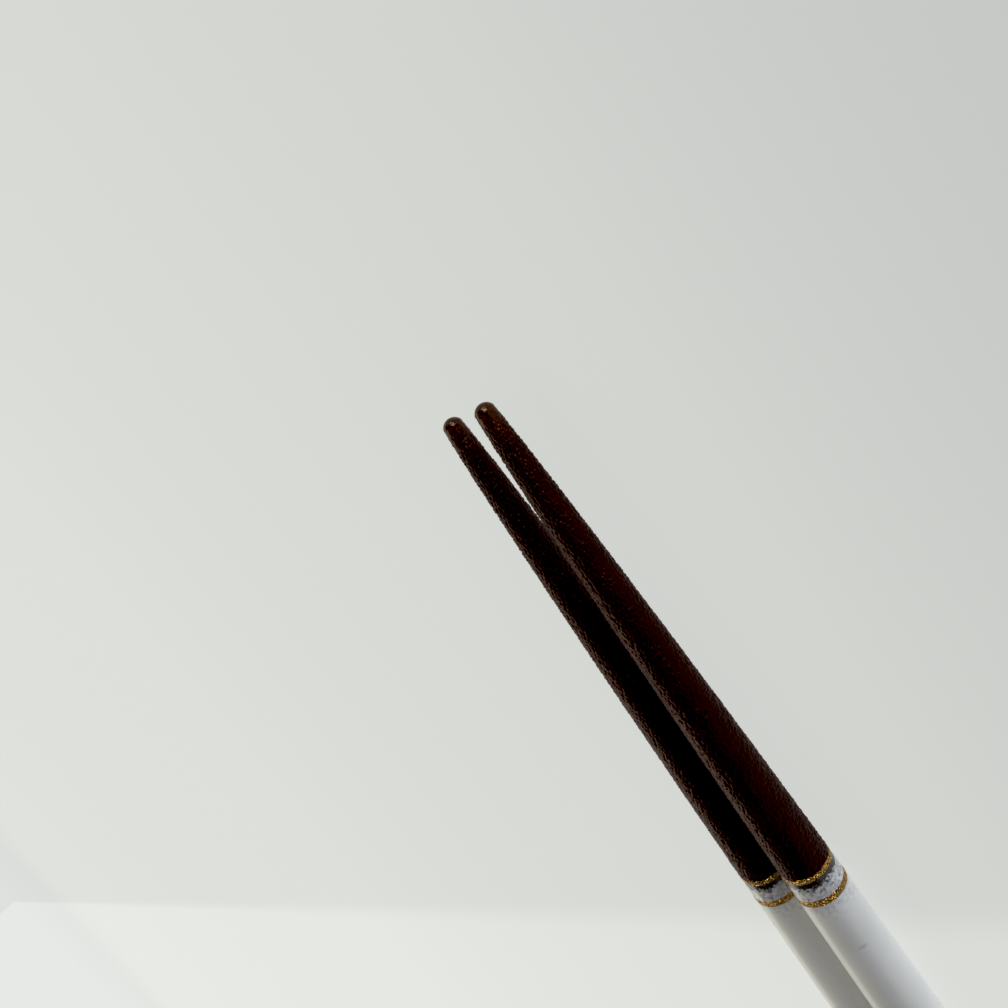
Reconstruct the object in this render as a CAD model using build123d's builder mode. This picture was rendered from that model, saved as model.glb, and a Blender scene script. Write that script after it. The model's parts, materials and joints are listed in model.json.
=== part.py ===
from build123d import *
import math
import os

# A pair of lacquered wooden chopsticks, laid side by side on a table.
#
# Frame: the table is Z = 0 and +Z is up.  +X runs along the sticks towards their tips.  The origin is
# the middle of the pair's footprint.  Each stick is a wooden core under lacquer coats that end
# face to face: a brown tip coat, a gold ring, a dark band, a shell band, a second gold ring and a
# white handle coat.  All sizes are in millimetres and angles in degrees.

# ---- One stick, measured along its axis from the end of its tip ----
stick_length = 225.0
tip_diameter = 2.4  # where the round end meets the taper
tip_dome_length = 0.8
shoulder_distance = 126.0  # where the curved taper has run out into the straight handle
shoulder_diameter = 8.0
butt_diameter = 8.5  # of the straight handle, carried on to the butt's plane
butt_edge_radius = 1.0

# The taper's side is one curve.  It leaves the tip at this angle to the axis and joins the
# handle's own slope; the reaches say how long it keeps near each of these two directions.
tip_taper_angle = 3.5
tip_taper_reach = 26.0
shoulder_reach = 36.0

# ---- Coats and bands ----
coat_thickness = 0.25
bond_gap = 0.02  # drawn between the wood and its coats, where the real ones are bonded
tip_ring_width = 0.6
dark_band_width = 0.7
shell_band_width = 2.1
handle_ring_width = 0.9
fixed_band_start = 69.4  # the bands are laid by hand, so the two sticks differ a little
moving_band_start = 67.9

# ---- How the pair lies ----
tip_gap = 4.2  # clear space between the two tips
side_gap = 0.5  # least clear space between the handles
pivot_from_butt = 4.0  # where the hand holds the moving stick's butt, on its axis

# ---- Worked out from these ----
tip_slope = math.tan(math.radians(tip_taper_angle))
handle_slope = (butt_diameter - shoulder_diameter) / 2 / (stick_length - shoulder_distance)
bands_width = tip_ring_width + dark_band_width + shell_band_width + handle_ring_width


def half_section(inset):
    """Half of a stick cut lengthwise, on X from the tip's end, with its surface moved in by inset."""
    tip_radius = tip_diameter / 2 - inset
    shoulder_radius = shoulder_diameter / 2 - inset
    butt_x = stick_length - inset
    edge_radius = butt_edge_radius - inset
    edge_x = butt_x - edge_radius
    edge_y = shoulder_radius + handle_slope * (edge_x - shoulder_distance)
    with BuildSketch() as section:
        with BuildLine():
            TangentArc((inset, 0), (tip_dome_length, tip_radius), tangent=(0, 1))
            Bezier(
                (tip_dome_length, tip_radius),
                (tip_dome_length + tip_taper_reach, tip_radius + tip_slope * tip_taper_reach),
                (shoulder_distance - shoulder_reach, shoulder_radius - handle_slope * shoulder_reach),
                (shoulder_distance, shoulder_radius),
            )
            Line((shoulder_distance, shoulder_radius), (edge_x, edge_y))
            TangentArc((edge_x, edge_y), (butt_x, edge_y - edge_radius), tangent=(1, handle_slope))
            Polyline((butt_x, edge_y - edge_radius), (butt_x, 0), (inset, 0))
        make_face()
    return section.sketch


# ---- Where the two sticks lie ----
# A stick lies on its straight handle, so its axis climbs towards the butt by the handle's slope and
# the thinner tip stays clear of the table.  In plan the axes spread towards the butts just enough to
# keep side_gap at the shoulders and at the butts.
pitch = math.atan(handle_slope)
tip_height = (shoulder_diameter / 2 - handle_slope * shoulder_distance) * math.cos(pitch)
tip_spacing = tip_diameter + tip_gap
spread_slope = max(
    (shoulder_diameter + side_gap - tip_spacing) / shoulder_distance,
    (butt_diameter + side_gap - tip_spacing) / stick_length,
)
half_spread = math.atan(spread_slope) / 2


def stick_plane(side):
    """Plane with its X along a stick from tip to butt; side is +1 or -1 for the stick's side of Y."""
    along = Vector(
        -math.cos(pitch) * math.cos(half_spread),
        side * math.cos(pitch) * math.sin(half_spread),
        math.sin(pitch),
    )
    across = Vector(math.sin(half_spread), side * math.cos(half_spread), 0)
    tip_end = (stick_length / 2, side * tip_spacing / 2, tip_height)
    return Plane(origin=tip_end, x_dir=along, z_dir=across)


sticks = [
    ("fixed", stick_plane(1), fixed_band_start),
    ("moving", stick_plane(-1), moving_band_start),
]

# ---- The pieces ----
os.makedirs("parts", exist_ok=True)
outer_section = half_section(0)
seat_section = half_section(coat_thickness)
core_section = half_section(coat_thickness + bond_gap)

for stick_name, plane, band_start in sticks:
    axis = Axis(plane.origin, plane.x_dir)

    # The tapered wooden core runs the whole length under the coats.
    with BuildPart() as core:
        with BuildSketch(plane):
            add(core_section)
        revolve(axis=axis)
    core.part.label = stick_name + "_wood_core"
    export_step(core.part, "parts/" + core.part.label + ".step")

    # Each coat or band is the skin between the core's seat and the outside, from one plane
    # across the axis to the next.
    coats = [
        ("tip_coat", band_start),
        ("tip_ring", tip_ring_width),
        ("dark_band", dark_band_width),
        ("shell_band", shell_band_width),
        ("handle_ring", handle_ring_width),
        ("handle_coat", stick_length - band_start - bands_width),
    ]
    start = 0
    for coat_name, width in coats:
        with BuildPart() as coat:
            with BuildSketch(plane):
                add(outer_section)
                add(seat_section, mode=Mode.SUBTRACT)
                with Locations((start + width / 2, 0)):
                    Rectangle(width, 2 * butt_diameter, mode=Mode.INTERSECT)
            revolve(axis=axis)
        coat.part.label = stick_name + "_" + coat_name
        export_step(coat.part, "parts/" + coat.part.label + ".step")
        start += width

# ---- Places for the record ----
for stick_name, plane, band_start in sticks:
    butt = plane.from_local_coords(Vector(stick_length, 0, 0))
    pivot = plane.from_local_coords(Vector(stick_length - pivot_from_butt, 0, 0))
    print(stick_name, "tip end", plane.origin, "butt centre", butt, "pivot", pivot, "axis", plane.x_dir)
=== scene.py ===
import json
import math

import bpy
import numpy as np
from mathutils import Matrix, Vector


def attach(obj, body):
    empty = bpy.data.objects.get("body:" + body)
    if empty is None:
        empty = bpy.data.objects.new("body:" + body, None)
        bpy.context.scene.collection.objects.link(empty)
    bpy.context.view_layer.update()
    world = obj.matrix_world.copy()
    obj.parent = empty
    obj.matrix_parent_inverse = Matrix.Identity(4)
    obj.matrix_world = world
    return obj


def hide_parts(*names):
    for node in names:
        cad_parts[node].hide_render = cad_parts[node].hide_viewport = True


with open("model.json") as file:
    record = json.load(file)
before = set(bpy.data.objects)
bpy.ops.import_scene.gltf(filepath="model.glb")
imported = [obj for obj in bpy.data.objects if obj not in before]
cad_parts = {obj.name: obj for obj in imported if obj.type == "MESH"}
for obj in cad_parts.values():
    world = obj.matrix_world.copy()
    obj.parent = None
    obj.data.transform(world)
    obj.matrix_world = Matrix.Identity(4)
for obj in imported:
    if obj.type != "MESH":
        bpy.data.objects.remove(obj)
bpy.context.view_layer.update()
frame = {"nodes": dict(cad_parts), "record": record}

# A pair of lacquered chopsticks lying on a table.  Every piece is a skin turned round its stick's
# axis: the wood inside is the frame's own, and each coat, ring and band is worked out here on a
# grid, so that the grit of the tips and the gold powder stand up as real relief.
# The pieces' sizes are in millimetres from the stick's tip end and are multiplied by MM where they
# meet Blender.  The stage's sizes and places are in metres.

MM = 0.001

# ---- The turned outline, the same curve that the coats have in the frame ----
STICK_LENGTH = 225.0
TIP_DIAMETER = 2.4
TIP_DOME_LENGTH = 0.8
TIP_TAPER_ANGLE = 3.5
TIP_TAPER_REACH = 26.0
SHOULDER_DISTANCE = 126.0
SHOULDER_DIAMETER = 8.0
SHOULDER_REACH = 36.0
BUTT_DIAMETER = 8.5
BUTT_EDGE_RADIUS = 1.0
COAT_THICKNESS = 0.25
CURVE_STEPS = 2000  # the taper is read off its curve at this many places

# ---- Grids: rows along a stick and columns round it ----
SHARP = 0.02  # rows this close keep an edge crisp under smooth shading
END_ROWS = 14  # over the tips' round end, and over the butt's edge
HIDDEN_ROWS = 12  # on the inner side of the tip's and the handle's coat
FIRST_DOME_ROW = 0.04  # where the round end's first row lies, as a share of its quarter turn
TIP_ROWS = 538
TIP_COLUMNS = 168
RING_ROWS = 34
RING_COLUMNS = 560
DARK_ROWS = 10
DARK_COLUMNS = 192
SHELL_ROWS = 46
SHELL_COLUMNS = 420
HANDLE_ROWS = 220
HANDLE_COLUMNS = 144
RING_HIDDEN_STEP = 11  # a band's inner side has every so many-th of its outer rows
DARK_HIDDEN_STEP = 3
SHELL_HIDDEN_STEP = 9
INNER_TIP_GAP = 0.05  # the tip coat's inner side closes this far behind the coat's own thickness
INNER_TIP_RADIUS = 0.15  # and with this radius
BUTT_FACE_ROWS = ((0.75,), (0.45,), (0.15,))  # radii of the rows on the butt's face, as shares of its own

# ---- Grains: grit, gold powder and shell flakes ----
GRAIN_RADIUS = 0.66  # as a share of the pitch, so that neighbours overlap
GRAIN_SIZES = (0.75, 1.15)  # the smallest and the largest, as shares of the radius
FEWEST_GRAINS = 5  # in the ring nearest the tip

GRIT_PITCH = 0.48  # from one grain of the tips' non-slip lacquer to the next
GRIT_HEIGHT = 0.17
GRIT_JITTER = 0.28  # how far a grain strays from its place, as a share of the pitch
GRIT_SUNK = 0.35  # the share of its height that lies under the outline
GRIT_LEAST = 0.55  # the lowest grain's height, as a share of the tallest one's
GRIT_FADE = 3.0  # the grit rises to its full height over this length behind the round end
GRIT_AT_DOME = 0.22  # the share of its height that it has where the rise starts
GRIT_START = 0.3  # the round end is smooth up to this share of its length
GLOSSY_START = 0.5  # the smooth gloss of the round end starts to wear off this far from the tip
GLOSSY_END = 5.0  # and is gone here

POWDER_PITCH = 0.17  # gold powder grains, about three times as coarse as real ones, so that they show
POWDER_JITTER = 0.45
POWDER_HEIGHT = 0.07
POWDER_BED = 0.25  # the share of that height that lies under every grain
POWDER_LEAST = 0.4
POWDER_SPREAD = 0.09  # how far the powder strays past the ring's edges
POWDER_RAGGED = 0.6  # how much of that comes and goes round the ring
POWDER_WAVES = (3, 40)  # the longest and shortest waves of the ring's edge, in waves a turn
RING_SUNK = 0.02  # a ring's edges lie this far under the outline

FLAKE_PITCH = 0.34  # shell flakes
FLAKE_HEIGHT = 0.018
FLAKE_JITTER = 0.45
FLAKE_LEAST = 0.4
FLAKE_STEEPNESS = 2.2  # how fast a flake rises to its flat top
SHELL_WANDER = 0.28  # how far the shell's edge wanders over the dark band
SHELL_WAVES = (2, 60)
SHELL_SUNK = 0.016
SHELL_LIP = 0.12  # the shell rises from its wandering edge over this length
SHELL_LIP_HEIGHT = 0.012
SHELL_THINNING = 0.9  # the flakes lie closer and closer over this length behind that edge

DARK_SUNK = 0.012
DARK_DENTS = 0.006
DARK_JITTER = 0.4

# ---- Marks in the white lacquer ----
DUST_REACH = 3.5  # shell dust shows in the white lacquer this far behind the ring
SCUFF_PLACE = (0.03285, -0.00707, 0.00648)  # metres: a faint grey scuff on the moving stick's handle
SCUFF_SIZE = (0.0004, 0.0011, 0.0011)  # metres

# ---- Stage, in metres ----
# The table's glow and its changes are painted light and shade.
GLOW = 0.96  # the table's own light
HANDLE_GLOW = 1.09 * GLOW  # in the half where the handles lie
WALL_GLOW = 0.025  # how much more the wall has
WALL_GLOW_START = 1.0  # that rises from here to the next, away from the table's middle
WALL_GLOW_END = 3.0
TABLE_ACROSS = (1.0, 0.21, 0.0)  # runs across the line between the table's two halves
LIT_HALF_END = 0.024  # on that, where the lit half ends
DIM_HALF_START = 0.033
NEAR_SIDE = -0.1  # Y where the glow is weakest
FAR_SIDE = 0.3
TABLE_RADIUS = 6.0
TABLE_MIDDLE = 0.3  # radius of the one flat face in the table's middle
COVE_RADIUS = 1.0
COVE_ROWS = 12
WALL_HEIGHT = 3.0
WALL_COLUMNS = 96
ORIGIN = (0.0, 0.0, 0.0)
WINDOW_MIDDLE = (0.47, -0.27, 0.1)
WINDOW_RUN = (0.6, 0.8, 0.0)  # the way the window's panes stand side by side
PANES = (-0.19, 0.0, 0.19)  # each pane's distance from the middle
PANES_AIM = (0.11, 0.0, 0.004)  # the tips
WORLD_STRENGTH = 0.035
BLACK_LEVEL = 0.006  # the darkest tone that still shows

# ---- Where each piece's random draws start ----
GRIT_SEED = 11
DARK_SEED = 31
SHELL_EDGE_SEED = 41
FLAKE_SEED = 51
TIP_RING_SEED = 61
HANDLE_RING_SEED = 71

# ---- A colour mix's sockets ----
MIX_AMOUNT = 0
MIX_FROM = 6
MIX_TO = 7
MIX_RESULT = 2


# ---- Shapes ----
def outline(x):
    """Radius at x from the tip: a round end, one cubic curve to the shoulder, a straight handle
    and a round butt edge."""
    tip_radius = TIP_DIAMETER / 2
    shoulder_radius = SHOULDER_DIAMETER / 2
    tip_slope = math.tan(math.radians(TIP_TAPER_ANGLE))
    handle_slope = (BUTT_DIAMETER - SHOULDER_DIAMETER) / 2 / (STICK_LENGTH - SHOULDER_DISTANCE)
    dome_radius = (tip_radius**2 + TIP_DOME_LENGTH**2) / (2 * TIP_DOME_LENGTH)
    dome = np.sqrt(np.maximum(dome_radius**2 - (dome_radius - x) ** 2, 0))

    corners = np.array([
        [TIP_DOME_LENGTH, tip_radius],
        [TIP_DOME_LENGTH + TIP_TAPER_REACH, tip_radius + tip_slope * TIP_TAPER_REACH],
        [SHOULDER_DISTANCE - SHOULDER_REACH, shoulder_radius - handle_slope * SHOULDER_REACH],
        [SHOULDER_DISTANCE, shoulder_radius],
    ])
    t = np.linspace(0, 1, CURVE_STEPS)[:, None]
    weights = np.hstack([(1 - t) ** 3, 3 * t * (1 - t) ** 2, 3 * t**2 * (1 - t), t**3])
    curve = weights @ corners
    taper = np.interp(x, curve[:, 0], curve[:, 1])

    straight = shoulder_radius + handle_slope * (x - SHOULDER_DISTANCE)
    past_edge = np.maximum(x - (STICK_LENGTH - BUTT_EDGE_RADIUS), 0)
    drop = BUTT_EDGE_RADIUS - np.sqrt(np.maximum(BUTT_EDGE_RADIUS**2 - past_edge**2, 0))
    return np.where(x < TIP_DOME_LENGTH, dome, np.where(x < SHOULDER_DISTANCE, taper, straight - drop))


class Stick:
    """One stick's axis, from its butt face in the frame, and where its coats start and end."""

    def __init__(self, name):
        self.name = name
        self.body = name + "_stick"
        self.draws = len(name)  # added to each seed, so that the two sticks differ
        mount = next(m for m in frame["record"]["mounts"] if m["name"] == name + "_butt")
        self.along = np.array(mount["axis"]) / np.linalg.norm(mount["axis"])
        self.tip = np.array(mount["pos_m"]) - self.along * STICK_LENGTH * MM
        self.side = np.cross((0, 0, 1), self.along)
        self.side /= np.linalg.norm(self.side)
        self.up = np.cross(self.along, self.side)

    def reach(self, coat):
        """First and last distance from the tip, in mm, of one of the stick's nodes."""
        mesh = frame["nodes"][self.name + "_" + coat].data
        points = np.empty(len(mesh.vertices) * 3)
        mesh.vertices.foreach_get("co", points)
        distance = (points.reshape(-1, 3) - self.tip) @ self.along / MM
        return distance.min(), distance.max()


def grid(rows, columns):
    """The values in rows, and the angles once round, each spread over the whole grid."""
    angle = np.arange(columns)[None, :] * 2 * np.pi / columns
    return rows[:, None] + 0 * angle, angle + 0 * rows[:, None]


def skin(name, stick, x, r, pole_ends, values):
    """A closed skin round the stick's axis.

    Row i and column j of the arrays x and r give a point's distance from the tip and from the
    axis; columns go once round.  With pole_ends the first and last rows close on points of the
    axis, and otherwise the last row joins the first.  values holds named numbers, one per point.
    """
    rows, columns = x.shape
    angle = np.arange(columns) * 2 * np.pi / columns
    across = np.cos(angle)[:, None] * stick.side + np.sin(angle)[:, None] * stick.up
    points = stick.tip + MM * (x[..., None] * stick.along + r[..., None] * across)
    points = points.reshape(-1, 3)

    i, j = np.meshgrid(np.arange(rows if not pole_ends else rows - 1), np.arange(columns), indexing="ij")
    this = i * columns
    after = (i + 1) % rows * columns
    beside = (j + 1) % columns
    faces = np.stack([this + j, this + beside, after + beside, after + j], -1).reshape(-1, 4).tolist()
    if pole_ends:
        first = len(points)
        last = first + 1
        ends = [stick.tip + MM * x[k].mean() * stick.along for k in (0, -1)]
        points = np.vstack([points, ends])
        step = np.arange(columns)
        onward = (step + 1) % columns
        base = (rows - 1) * columns
        faces += np.stack([np.full(columns, first), onward, step], -1).tolist()
        faces += np.stack([np.full(columns, last), base + step, base + onward], -1).tolist()

    mesh = bpy.data.meshes.new(name)
    mesh.from_pydata(points.tolist(), [], faces)
    mesh.shade_smooth()
    for key, value in values.items():
        flat = np.zeros(len(points))
        flat[: value.size] = value.ravel()
        mesh.attributes.new(key, "FLOAT", "POINT").data.foreach_set("value", flat)
    piece = bpy.data.objects.new(name, mesh)
    bpy.context.scene.collection.objects.link(piece)
    return piece


def band(name, stick, x, r, hidden_step, values):
    """The skin of a band: its outer side x and r, and an inner side a coat's thickness under the
    outline, which has every hidden_step-th of the outer rows."""
    inner_x = x[::-1][::hidden_step]
    inner_r = outline(inner_x) - COAT_THICKNESS
    values = {key: np.vstack([value, 0 * inner_x]) for key, value in values.items()}
    return skin(name, stick, np.vstack([x, inner_x]), np.vstack([r, inner_r]), False, values)


def grains(x, angle, r, pitch, jitter, seed):
    """Height from 0 to 1 of rounded grains packed in staggered rings round the stick.

    Ring k lies at k times pitch and holds as many grains as fit its girth.  A point's height is
    that of the tallest grain over it, and a grain falls off as one minus its distance squared.
    Returns the height and a random number from 0 to 1 that each grain has for itself.
    """
    random = np.random.default_rng(seed)
    ring_count = int(STICK_LENGTH / pitch) + 3
    most = int(math.pi * BUTT_DIAMETER / pitch) + 2
    shift = random.uniform(-jitter, jitter, (ring_count, most, 2))
    size = random.uniform(*GRAIN_SIZES, (ring_count, most))
    mark = random.uniform(0, 1, (ring_count, most))
    girth = 2 * np.pi * outline(np.arange(ring_count) * pitch)
    count = np.maximum(np.round(girth / pitch), FEWEST_GRAINS).astype(int)

    height = np.zeros(x.shape)
    own = np.zeros(x.shape)
    near_ring = np.round(x / pitch).astype(int)
    for ring_step in (-1, 0, 1):
        k = np.clip(near_ring + ring_step, 0, ring_count - 1)
        turn = angle / (2 * np.pi) * count[k] - k * 0.5
        for grain_step in (0, 1):
            j = np.floor(turn).astype(int) + grain_step
            which = j % np.minimum(count[k], most)
            along = x - (k + shift[k, which, 0]) * pitch
            round_axis = (turn - j - shift[k, which, 1]) / count[k] * 2 * np.pi * r
            distance = np.hypot(along, round_axis) / (GRAIN_RADIUS * pitch * size[k, which])
            rise = np.maximum(1 - distance**2, 0)
            own = np.where(rise > height, mark[k, which], own)
            height = np.maximum(height, rise)
    return height, own


def wander(angle, seed, longest, shortest):
    """A closed random line round the stick, about -1 to 1: sines of whole numbers of waves a turn,
    each weaker the shorter it is."""
    random = np.random.default_rng(seed)
    line = np.zeros(angle.shape)
    for waves in range(longest, shortest):
        line += random.normal() / math.sqrt(waves) * np.sin(waves * angle + random.uniform(0, 2 * np.pi))
    return line / np.abs(line).max()


def smooth_step(value):
    """0 below 0, 1 above 1 and a smooth rise between."""
    value = np.clip(value, 0, 1)
    return value * value * (3 - 2 * value)


def tip_coat(stick):
    """Brown non-slip lacquer: smooth on the round end, and gritty from there to the gold ring.
    The outside is the outline plus the grains' height, less what is sunk, times its rise behind
    the round end.  The inside is a coat's thickness under the outline."""
    end = stick.reach("tip_coat")[1]
    dome = TIP_DOME_LENGTH * (1 - np.cos(np.linspace(FIRST_DOME_ROW, 1, END_ROWS) * np.pi / 2))
    body = np.linspace(TIP_DOME_LENGTH, end - SHARP, TIP_ROWS)[1:]
    outer_x, angle = grid(np.concatenate([dome, body, [end]]), TIP_COLUMNS)
    outer_r = outline(outer_x)
    height, own = grains(outer_x, angle, outer_r, GRIT_PITCH, GRIT_JITTER, GRIT_SEED + stick.draws)
    rise = smooth_step((outer_x - TIP_DOME_LENGTH) / GRIT_FADE) * (1 - GRIT_AT_DOME) + GRIT_AT_DOME
    rise = rise * smooth_step(outer_x / TIP_DOME_LENGTH - GRIT_START)
    swell = GRIT_HEIGHT * rise * (height * (GRIT_LEAST + (1 - GRIT_LEAST) * own) - GRIT_SUNK)
    inner_x = grid(np.linspace(end, COAT_THICKNESS + INNER_TIP_GAP, HIDDEN_ROWS), TIP_COLUMNS)[0]
    inner_r = np.maximum(outline(inner_x) - COAT_THICKNESS, INNER_TIP_RADIUS)
    x = np.vstack([outer_x, inner_x])
    r = np.vstack([outer_r + swell, inner_r])
    return skin(stick.name + "_textured_tip", stick, x, r, True, {"along": x})


def gold_ring(stick, coat, seed):
    """Gold powder sprinkled on a line of wet lacquer: it stands up in the middle, sinks under its
    neighbours at its edges, and strays past them grain by grain.  The crown is one minus the cube
    of the distance from the middle, and the grains' height rides on it."""
    start, end = stick.reach(coat)
    t, angle = grid(np.linspace(0, 1, RING_ROWS), RING_COLUMNS)
    first = start - POWDER_SPREAD * (1 + POWDER_RAGGED * wander(angle, seed, *POWDER_WAVES))
    last = end + POWDER_SPREAD * (1 + POWDER_RAGGED * wander(angle, seed + 1, *POWDER_WAVES))
    x = first + (last - first) * t
    base = outline(x)
    height, own = grains(x, angle, base, POWDER_PITCH, POWDER_JITTER, seed + 2)
    crown = 1 - np.abs(2 * t - 1) ** 3
    loose = height * (POWDER_LEAST + (1 - POWDER_LEAST) * own)
    powder = POWDER_HEIGHT * (POWDER_BED + (1 - POWDER_BED) * loose)
    r = base - RING_SUNK + crown * (RING_SUNK + powder)
    return band(stick.name + "_gold_" + coat, stick, x, r, RING_HIDDEN_STEP, {"relief": height})


def dark_band(stick):
    """Dark lacquer between the first ring and the shell, running on under the shell's edge.  It
    lies a little under the outline, with shallow dents."""
    start, end = stick.reach("dark_band")
    x, angle = grid(np.linspace(start, end + SHELL_WANDER, DARK_ROWS), DARK_COLUMNS)
    height = grains(x, angle, outline(x), FLAKE_PITCH, DARK_JITTER, DARK_SEED + stick.draws)[0]
    r = outline(x) - DARK_SUNK + DARK_DENTS * height
    return band(stick.name + "_dark_lacquer_band", stick, x, r, DARK_HIDDEN_STEP, {})


def shell_band(stick):
    """Shell flakes laid in clear lacquer.  The edge on the dark band wanders, and the value
    inland is the distance from that edge, where the flakes thin out.  The surface rises from the
    edge over a lip, and each flake's flat top stands above it by its own height."""
    start, end = stick.reach("shell_band")
    t, angle = grid(np.linspace(0, 1, SHELL_ROWS), SHELL_COLUMNS)
    edge = start + SHELL_WANDER * wander(angle, SHELL_EDGE_SEED + stick.draws, *SHELL_WAVES)
    x = edge + (end - edge) * t
    base = outline(x)
    height, own = grains(x, angle, base, FLAKE_PITCH, FLAKE_JITTER, FLAKE_SEED + stick.draws)
    inland = x - edge
    flat_top = np.minimum(height * FLAKE_STEEPNESS, 1)
    flakes = FLAKE_HEIGHT * flat_top * (FLAKE_LEAST + (1 - FLAKE_LEAST) * own)
    r = base - SHELL_SUNK + smooth_step(inland / SHELL_LIP) * (SHELL_LIP_HEIGHT + flakes)
    return band(stick.name + "_shell_flake_band", stick, x, r, SHELL_HIDDEN_STEP,
                {"inland": inland})


def handle_coat(stick):
    """White satin lacquer over the handle, rounded over the butt's edge to its flat face.  The
    outside is the outline, and the inside a coat's thickness under it."""
    start, end = stick.reach("handle_coat")
    edge_start = end - BUTT_EDGE_RADIUS
    side = np.concatenate([[start], np.linspace(start + SHARP, edge_start, HANDLE_ROWS)])
    bend = edge_start + BUTT_EDGE_RADIUS * np.sin(np.linspace(0, 1, END_ROWS)[1:] * np.pi / 2)
    outer_x = grid(np.concatenate([side, bend]), HANDLE_COLUMNS)[0]
    outer_r = outline(outer_x)
    face_r = outer_r[-1:] * np.array(BUTT_FACE_ROWS)
    face_x = face_r * 0 + end
    inner_x = grid(np.linspace(end - COAT_THICKNESS, start, HIDDEN_ROWS), HANDLE_COLUMNS)[0]
    inner_r = outline(np.minimum(inner_x, edge_start)) - COAT_THICKNESS
    x = np.vstack([inner_x, outer_x, face_x])
    r = np.vstack([inner_r, outer_r, face_r])
    return skin(stick.name + "_white_handle", stick, x, r, True, {"from_ring": x - start})


# ---- Materials ----
def linear(hex_colour):
    """The linear colour of an sRGB hex value, with alpha 1."""
    channels = [int(hex_colour[k : k + 2], 16) / 255 for k in (1, 3, 5)]
    return tuple(c / 12.92 if c <= 0.04045 else ((c + 0.055) / 1.055) ** 2.4 for c in channels) + (1.0,)


def add(tree, kind, inputs=(), output=0, stops=(), **settings):
    """Adds a node and returns one of its outputs.  Settings are the node's own, inputs are
    {socket: value or another node's output}, and stops are a colour ramp's (place, hex colour)."""
    node = tree.nodes.new(kind)
    for key, value in settings.items():
        setattr(node, key, value)
    for key, value in dict(inputs).items():
        if isinstance(value, bpy.types.NodeSocket):
            tree.links.new(value, node.inputs[key])
        else:
            node.inputs[key].default_value = value
    for number, (position, colour) in enumerate(stops):
        if number >= len(node.color_ramp.elements):
            node.color_ramp.elements.new(position)
        node.color_ramp.elements[number].position = position
        node.color_ramp.elements[number].color = linear(colour)
    return node.outputs[output]


def material(name, shader_of):
    """A material whose surface is the shader that shader_of makes in its tree."""
    made = bpy.data.materials.new(name)
    made.use_nodes = True
    tree = made.node_tree
    tree.nodes.clear()
    surface = tree.nodes.new("ShaderNodeOutputMaterial").inputs["Surface"]
    tree.links.new(shader_of(tree), surface)
    return made


def per_metre(size_mm):
    """The texture scale whose pattern repeats about once in size_mm."""
    return 1 / (size_mm * MM)


def brown_lacquer(tree):
    """Dark brown lacquer brushed over grit, under a clear amber coat: nearly black in shade and
    red-brown in the light, with a soft brown sheen.  The round end has no grit and little coat,
    so it is redder, speckled and glossier there."""
    place = add(tree, "ShaderNodeTexCoord", output="Object")
    along = add(tree, "ShaderNodeAttribute", output="Fac", attribute_name="along")
    end = add(tree, "ShaderNodeMapRange", {"Value": along, "From Min": GLOSSY_START, "From Max": GLOSSY_END,
                                           "To Min": 1.0, "To Max": 0.0})
    cloud = add(tree, "ShaderNodeTexNoise", {"Vector": place, "Scale": per_metre(2.4), "Detail": 3.0})
    body = add(tree, "ShaderNodeValToRGB", {"Fac": cloud}, stops=((0.3, "#280b03"), (0.7, "#3c1306")))
    brushed = add(tree, "ShaderNodeTexNoise", {"Vector": place, "Scale": per_metre(0.38), "Detail": 3.0})
    speckled = add(tree, "ShaderNodeValToRGB", {"Fac": brushed}, stops=((0.4, "#1e0b05"), (0.62, "#5c2a14")))
    colour = add(tree, "ShaderNodeMix", {MIX_AMOUNT: end, MIX_FROM: body, MIX_TO: speckled}, MIX_RESULT,
                 data_type="RGBA")
    tint = add(tree, "ShaderNodeMix", {MIX_AMOUNT: end, MIX_FROM: linear("#a85424"),
                                       MIX_TO: linear("#f0c8a0")}, MIX_RESULT, data_type="RGBA")
    gloss = add(tree, "ShaderNodeMapRange", {"Value": end, "To Min": 0.4, "To Max": 0.1})
    coat = add(tree, "ShaderNodeMapRange", {"Value": end, "To Min": 1.0, "To Max": 0.35})
    bump = add(tree, "ShaderNodeBump", {"Height": brushed, "Strength": 0.6, "Distance": 0.08 * MM})
    return add(tree, "ShaderNodeBsdfPrincipled", {
        "Base Color": colour, "Roughness": gloss, "IOR": 1.5, "Specular Tint": tint, "Normal": bump,
        "Coat Weight": coat, "Coat IOR": 1.14, "Coat Tint": linear("#b47844"), "Coat Roughness": 0.3,
    })


def gold_powder(tree):
    """Gold powder sprinkled on wet lacquer: each grain faces its own way, so a few flash and the
    rest stay ochre, with brown lacquer in the gaps.  Each grain's ochre darkens down its sides
    with painted shade."""
    place = add(tree, "ShaderNodeTexCoord", output="Object")
    relief = add(tree, "ShaderNodeAttribute", output="Fac", attribute_name="relief")
    # Low relief is the brown lacquer in the gaps; the ochre darkening down each grain's sides is painted
    # shade.
    colour = add(tree, "ShaderNodeValToRGB", {"Fac": relief},
                 stops=((0.1, "#281404"), (0.4, "#744d18"), (0.75, "#d6a858")))
    facing = add(tree, "ShaderNodeTexVoronoi", {"Vector": place, "Scale": per_metre(0.125)}, "Color")
    centred = add(tree, "ShaderNodeVectorMath", {0: facing, 1: (0.5, 0.5, 0.5)}, operation="SUBTRACT")
    tilt = add(tree, "ShaderNodeVectorMath", {0: centred, "Scale": 1.3}, operation="SCALE")
    smooth = add(tree, "ShaderNodeNewGeometry", output="Normal")
    tilted = add(tree, "ShaderNodeVectorMath", {0: smooth, 1: tilt}, operation="ADD")
    normal = add(tree, "ShaderNodeVectorMath", {0: tilted}, operation="NORMALIZE")
    metal = add(tree, "ShaderNodeMapRange", {"Value": relief, "From Min": 0.0, "From Max": 0.3})
    return add(tree, "ShaderNodeBsdfPrincipled",
               {"Base Color": colour, "Metallic": metal, "Roughness": 0.16, "Normal": normal})


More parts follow.
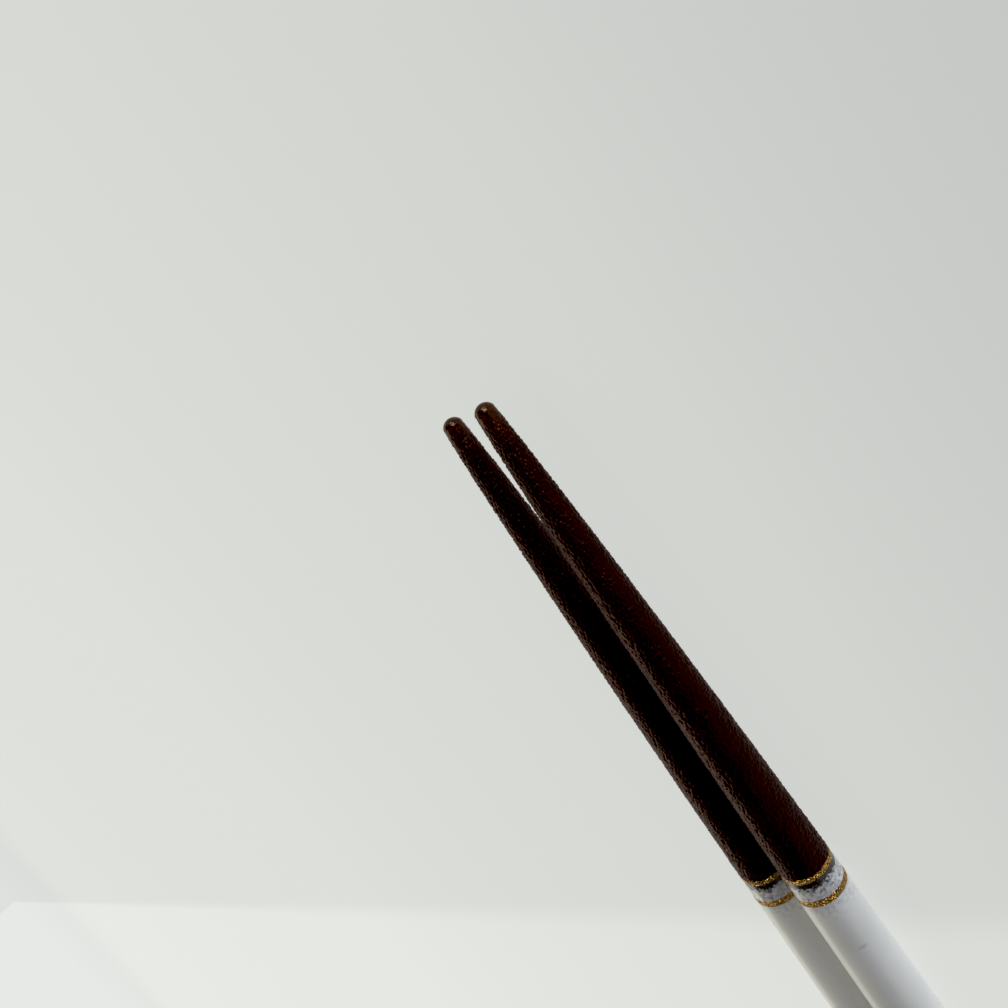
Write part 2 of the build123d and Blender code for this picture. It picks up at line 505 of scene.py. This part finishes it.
def dark_lacquer(tree):
    """Plain dark brown lacquer, rubbed to a polish, with a few pale specks of shell dust in it."""
    place = add(tree, "ShaderNodeTexCoord", output="Object")
    specks = add(tree, "ShaderNodeTexNoise", {"Vector": place, "Scale": per_metre(0.2), "Detail": 1.0})
    colour = add(tree, "ShaderNodeValToRGB", {"Fac": specks},
                 stops=((0.0, "#140c0a"), (0.62, "#1d1210"), (0.74, "#6b625e")))
    return add(tree, "ShaderNodeBsdfPrincipled", {
        "Base Color": colour, "Roughness": 0.3, "IOR": 1.5, "Coat Weight": 0.3, "Coat Roughness": 0.1,
    })


def shell_flakes(tree):
    """Crushed shell laid in clear lacquer and rubbed flat: white and lavender-grey flakes with
    dark gaps, which widen towards the dark band."""
    place = add(tree, "ShaderNodeTexCoord", output="Object")
    cells = add(tree, "ShaderNodeTexVoronoi", {"Vector": place, "Scale": per_metre(FLAKE_PITCH)}, "Color")
    tone = add(tree, "ShaderNodeSeparateColor", {"Color": cells})
    flakes = add(tree, "ShaderNodeValToRGB", {"Fac": tone},
                 stops=((0.0, "#8a8b98"), (0.3, "#c6c7d3"), (0.6, "#ececf1"), (1.0, "#b8bac8")))
    murk = add(tree, "ShaderNodeTexNoise", {"Vector": place, "Scale": per_metre(0.38), "Detail": 4.0})
    inland = add(tree, "ShaderNodeAttribute", output="Fac", attribute_name="inland")
    thinning = add(tree, "ShaderNodeMapRange", {"Value": inland, "From Min": 0.0, "From Max": SHELL_THINNING,
                                                "To Min": 0.16, "To Max": -0.06})
    total = add(tree, "ShaderNodeMath", {0: murk, 1: thinning}, operation="ADD")
    gap = add(tree, "ShaderNodeMapRange", {"Value": total, "From Min": 0.53, "From Max": 0.7})
    colour = add(tree, "ShaderNodeMix", {MIX_AMOUNT: gap, MIX_FROM: flakes, MIX_TO: linear("#2e2a2c")},
                 MIX_RESULT, data_type="RGBA")
    return add(tree, "ShaderNodeBsdfPrincipled", {
        "Base Color": colour, "Roughness": 0.3, "IOR": 1.5, "Coat Weight": 0.5, "Coat Roughness": 0.08,
    })


def white_lacquer(tree):
    """Sprayed white lacquer rubbed to a satin: a soft gloss with the faintest orange peel.  A
    little lavender shell dust shows through it by the ring, and one handle has a grey scuff."""
    place = add(tree, "ShaderNodeTexCoord", output="Object")
    cloud = add(tree, "ShaderNodeTexNoise", {"Vector": place, "Scale": per_metre(6.3), "Detail": 3.0})
    lacquer = add(tree, "ShaderNodeValToRGB", {"Fac": cloud}, stops=((0.3, "#f1f2f5"), (0.7, "#f8f9fc")))

    dust = add(tree, "ShaderNodeTexNoise", {"Vector": place, "Scale": per_metre(0.6), "Detail": 3.0})
    from_ring = add(tree, "ShaderNodeAttribute", output="Fac", attribute_name="from_ring")
    near = add(tree, "ShaderNodeMapRange", {"Value": from_ring, "From Min": 0.0, "From Max": DUST_REACH,
                                            "To Min": 0.2, "To Max": -0.2})
    dusty = add(tree, "ShaderNodeMath", {0: dust, 1: near}, operation="ADD")
    amount = add(tree, "ShaderNodeMapRange",
                 {"Value": dusty, "From Min": 0.5, "From Max": 0.75, "To Max": 0.45})
    dusted = add(tree, "ShaderNodeMix", {MIX_AMOUNT: amount, MIX_FROM: lacquer, MIX_TO: linear("#b4b6ca")},
                 MIX_RESULT, data_type="RGBA")

    moved = add(tree, "ShaderNodeVectorMath", {0: place, 1: SCUFF_PLACE}, operation="SUBTRACT")
    scaled = add(tree, "ShaderNodeVectorMath", {0: moved, 1: SCUFF_SIZE}, operation="DIVIDE")
    away = add(tree, "ShaderNodeVectorMath", {0: scaled}, "Value", operation="LENGTH")
    worn = add(tree, "ShaderNodeMapRange", {"Value": away, "From Min": 0.1, "To Min": 0.5, "To Max": 0.0})
    colour = add(tree, "ShaderNodeMix", {MIX_AMOUNT: worn, MIX_FROM: dusted, MIX_TO: linear("#6f6a6c")},
                 MIX_RESULT, data_type="RGBA")

    peel = add(tree, "ShaderNodeTexNoise", {"Vector": place, "Scale": per_metre(1.1), "Detail": 2.0})
    bump = add(tree, "ShaderNodeBump", {"Height": peel, "Strength": 0.15, "Distance": 0.04 * MM})
    return add(tree, "ShaderNodeBsdfPrincipled", {
        "Base Color": colour, "Roughness": 0.33, "IOR": 1.5, "Normal": bump, "Coat Weight": 0.25,
        "Coat Roughness": 0.15,
    })


def sealed_wood(tree):
    """Close-grained hardwood, turned, sanded and sealed; the grain runs along the stick."""
    place = add(tree, "ShaderNodeTexCoord", output="Object")
    grain_size = (per_metre(16), per_metre(0.4), per_metre(0.4))
    stretched = add(tree, "ShaderNodeMapping", {"Vector": place, "Scale": grain_size})
    grain = add(tree, "ShaderNodeTexNoise", {"Vector": stretched, "Scale": 1.0, "Detail": 4.0})
    colour = add(tree, "ShaderNodeValToRGB", {"Fac": grain}, stops=((0.3, "#6e4a2c"), (0.7, "#a9794c")))
    return add(tree, "ShaderNodeBsdfPrincipled", {"Base Color": colour, "Roughness": 0.55})


def pale_table(tree):
    """Matt pale paint with a painted glow of its own, as a light table has, so that it takes only a
    faint shadow.  The glow is painted light and shade: less on the near side, more in the half
    where the handles lie, and a little more far out and up the wall, where the lamps hardly reach."""
    place = add(tree, "ShaderNodeTexCoord", output="Object")
    across = add(tree, "ShaderNodeSeparateXYZ", {"Vector": place}, "Y")
    near_to_far = add(tree, "ShaderNodeMapRange",
                      {"Value": across, "From Min": NEAR_SIDE, "From Max": FAR_SIDE})
    # Painted shade: the glow's colour darkens towards the near side.
    glow = add(tree, "ShaderNodeValToRGB", {"Fac": near_to_far}, stops=(
        (0.0, "#bdbfbd"), (0.1, "#c7c9c7"), (0.19, "#d2d4d1"), (0.33, "#d7d9d5"), (0.75, "#dddfdc")))
    half = add(tree, "ShaderNodeVectorMath", {0: place, 1: TABLE_ACROSS}, "Value", operation="DOT_PRODUCT")
    # Painted light: the glow is stronger in the half where the handles lie.
    lit_half = add(tree, "ShaderNodeMapRange", {
        "Value": half, "From Min": LIT_HALF_END, "From Max": DIM_HALF_START,
        "To Min": HANDLE_GLOW, "To Max": GLOW,
    }, interpolation_type="SMOOTHSTEP")
    reach = add(tree, "ShaderNodeVectorMath", {0: place}, "Value", operation="LENGTH")
    # Painted light: a little more glow far out and up the wall, where the lamps hardly reach.
    wall = add(tree, "ShaderNodeMapRange", {"Value": reach, "From Min": WALL_GLOW_START,
                                            "From Max": WALL_GLOW_END, "To Max": WALL_GLOW})
    strength = add(tree, "ShaderNodeMath", {0: lit_half, 1: wall}, operation="ADD")
    return add(tree, "ShaderNodeBsdfPrincipled", {
        "Base Color": linear("#4c4c4a"), "Roughness": 1.0, "Specular IOR Level": 0.0,
        "Emission Color": glow, "Emission Strength": strength,
    })


# ---- Stage, lights and camera ----
def backdrop():
    """A round table top that turns up in a cove to a wall: a profile of radius and height,
    carried round Z, with one flat face in its middle."""
    bend = np.linspace(0, np.pi / 2, COVE_ROWS)
    radius = np.concatenate([[TABLE_MIDDLE], TABLE_RADIUS + COVE_RADIUS * np.sin(bend),
                             [TABLE_RADIUS + COVE_RADIUS]])
    height = np.concatenate([[0.0], COVE_RADIUS * (1 - np.cos(bend)), [WALL_HEIGHT]])
    angle = np.arange(WALL_COLUMNS) * 2 * np.pi / WALL_COLUMNS
    points = np.stack([np.outer(radius, np.cos(angle)), np.outer(radius, np.sin(angle)),
                       np.outer(height, np.ones(WALL_COLUMNS))], -1).reshape(-1, 3)
    i, j = np.meshgrid(np.arange(len(radius) - 1), np.arange(WALL_COLUMNS), indexing="ij")
    this = i * WALL_COLUMNS
    outward = this + WALL_COLUMNS
    beside = (j + 1) % WALL_COLUMNS
    quads = np.stack([this + j, outward + j, outward + beside, this + beside], -1).reshape(-1, 4)
    mesh = bpy.data.meshes.new("table_and_backdrop")
    mesh.from_pydata(points.tolist(), [], [list(range(WALL_COLUMNS))] + quads.tolist())
    mesh.shade_smooth()
    table = bpy.data.objects.new("table_and_backdrop", mesh)
    bpy.context.scene.collection.objects.link(table)
    table.data.materials.append(material("pale_paint_painted_glow", pale_table))


def softbox(name, place, size, watts, colour, aim=ORIGIN):
    """A soft oblong light at place, facing aim, that the camera doesn't see."""
    light = bpy.data.lights.new(name, "AREA")
    light.shape = "RECTANGLE"
    light.size = size[0]
    light.size_y = size[1]
    light.energy = watts
    light.color = linear(colour)[:3]
    lamp = bpy.data.objects.new(name, light)
    lamp.location = place
    lamp.rotation_euler = (Vector(aim) - Vector(place)).to_track_quat("-Z", "Y").to_euler()
    lamp.visible_camera = False
    bpy.context.scene.collection.objects.link(lamp)
    return lamp


def camera(eye_mm, azimuth, elevation, roll, lens):
    """A camera at eye_mm, with its angles in degrees.  Azimuth 0 looks along +Y and a greater one
    turns towards -X; elevation is how far it looks down; roll lifts its right-hand side."""
    azimuth, elevation, roll = (math.radians(angle) for angle in (azimuth, elevation, roll))
    look = Vector((-math.sin(azimuth) * math.cos(elevation), math.cos(azimuth) * math.cos(elevation),
                   -math.sin(elevation)))
    level = Vector((math.cos(azimuth), math.sin(azimuth), 0))
    right = level * math.cos(roll) + level.cross(look) * math.sin(roll)
    up = right.cross(look)
    turned = Matrix((right, up, -look)).transposed().to_4x4()
    data = bpy.data.cameras.new("camera")
    data.lens = lens
    data.sensor_width = 36.0
    data.clip_start = 0.001
    data.clip_end = 20.0
    eye = bpy.data.objects.new("camera", data)
    eye.matrix_world = Matrix.Translation(Vector(eye_mm) * MM) @ turned
    bpy.context.scene.collection.objects.link(eye)
    bpy.context.scene.camera = eye


backdrop()
softbox("back_light", place=(0.0, 1.35, 0.95), size=(2.4, 0.9), watts=14.0, colour="#fbfae4")
softbox("top_light", place=(0.0, 0.1, 1.5), size=(1.2, 1.2), watts=1.7, colour="#fff4e2")
window_light = softbox("window_light", place=(0.1, -0.9, 0.1), size=(0.6, 0.3), watts=0.8, colour="#e4ecff")
window_light.visible_glossy = False
# The window's three panes only glint in the brown lacquer, the gold and the shell.
glinting = bpy.data.collections.new("glinting")
for number, across in enumerate(PANES):
    pane_place = Vector(WINDOW_MIDDLE) + across * Vector(WINDOW_RUN)
    pane = softbox("window_pane_%d" % number, place=pane_place, size=(0.1, 0.3), watts=1.2,
                   colour="#ffffff", aim=PANES_AIM)
    pane.visible_diffuse = False
    pane.light_linking.receiver_collection = glinting
camera(eye_mm=(126.4, -90.66, 66.26), azimuth=15.193, elevation=32.491, roll=-134.054, lens=36.07)

world = bpy.data.worlds.new("studio")
world.use_nodes = True
world.node_tree.nodes["Background"].inputs["Color"].default_value = linear("#f2dcbc")
world.node_tree.nodes["Background"].inputs["Strength"].default_value = WORLD_STRENGTH
bpy.context.scene.world = world
view = bpy.context.scene.view_settings
view.view_transform = "Standard"
view.use_curve_mapping = True
view.curve_mapping.black_level = (BLACK_LEVEL,) * 3

# ---- The sticks ----
brown = material("brown_nonslip_lacquer", brown_lacquer)
gold = material("gold_powder", gold_powder)
dark = material("dark_brown_lacquer", dark_lacquer)
shell = material("shell_flake_lacquer", shell_flakes)
white = material("white_satin_lacquer", white_lacquer)
wood = material("sealed_hardwood", sealed_wood)

for stick_name in ("fixed", "moving"):
    stick = Stick(stick_name)
    pieces = [
        (tip_coat(stick), brown, "tip_coat", "brown_lacquer"),
        (gold_ring(stick, "tip_ring", TIP_RING_SEED + stick.draws), gold, "tip_ring", "gold"),
        (dark_band(stick), dark, "dark_band", "dark_lacquer"),
        (shell_band(stick), shell, "shell_band", "shell"),
        (gold_ring(stick, "handle_ring", HANDLE_RING_SEED + stick.draws), gold, "handle_ring", "gold"),
        (handle_coat(stick), white, "handle_coat", "white_lacquer"),
    ]
    for piece, finish, coat, slot in pieces:
        piece.data.materials.append(finish)
        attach(piece, stick.body)
        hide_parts(stick_name + "_" + coat)
        if finish is not white:
            glinting.objects.link(piece)
    core = frame["nodes"][stick_name + "_wood_core"]
    for core_slot in core.material_slots:
        core_slot.material = wood
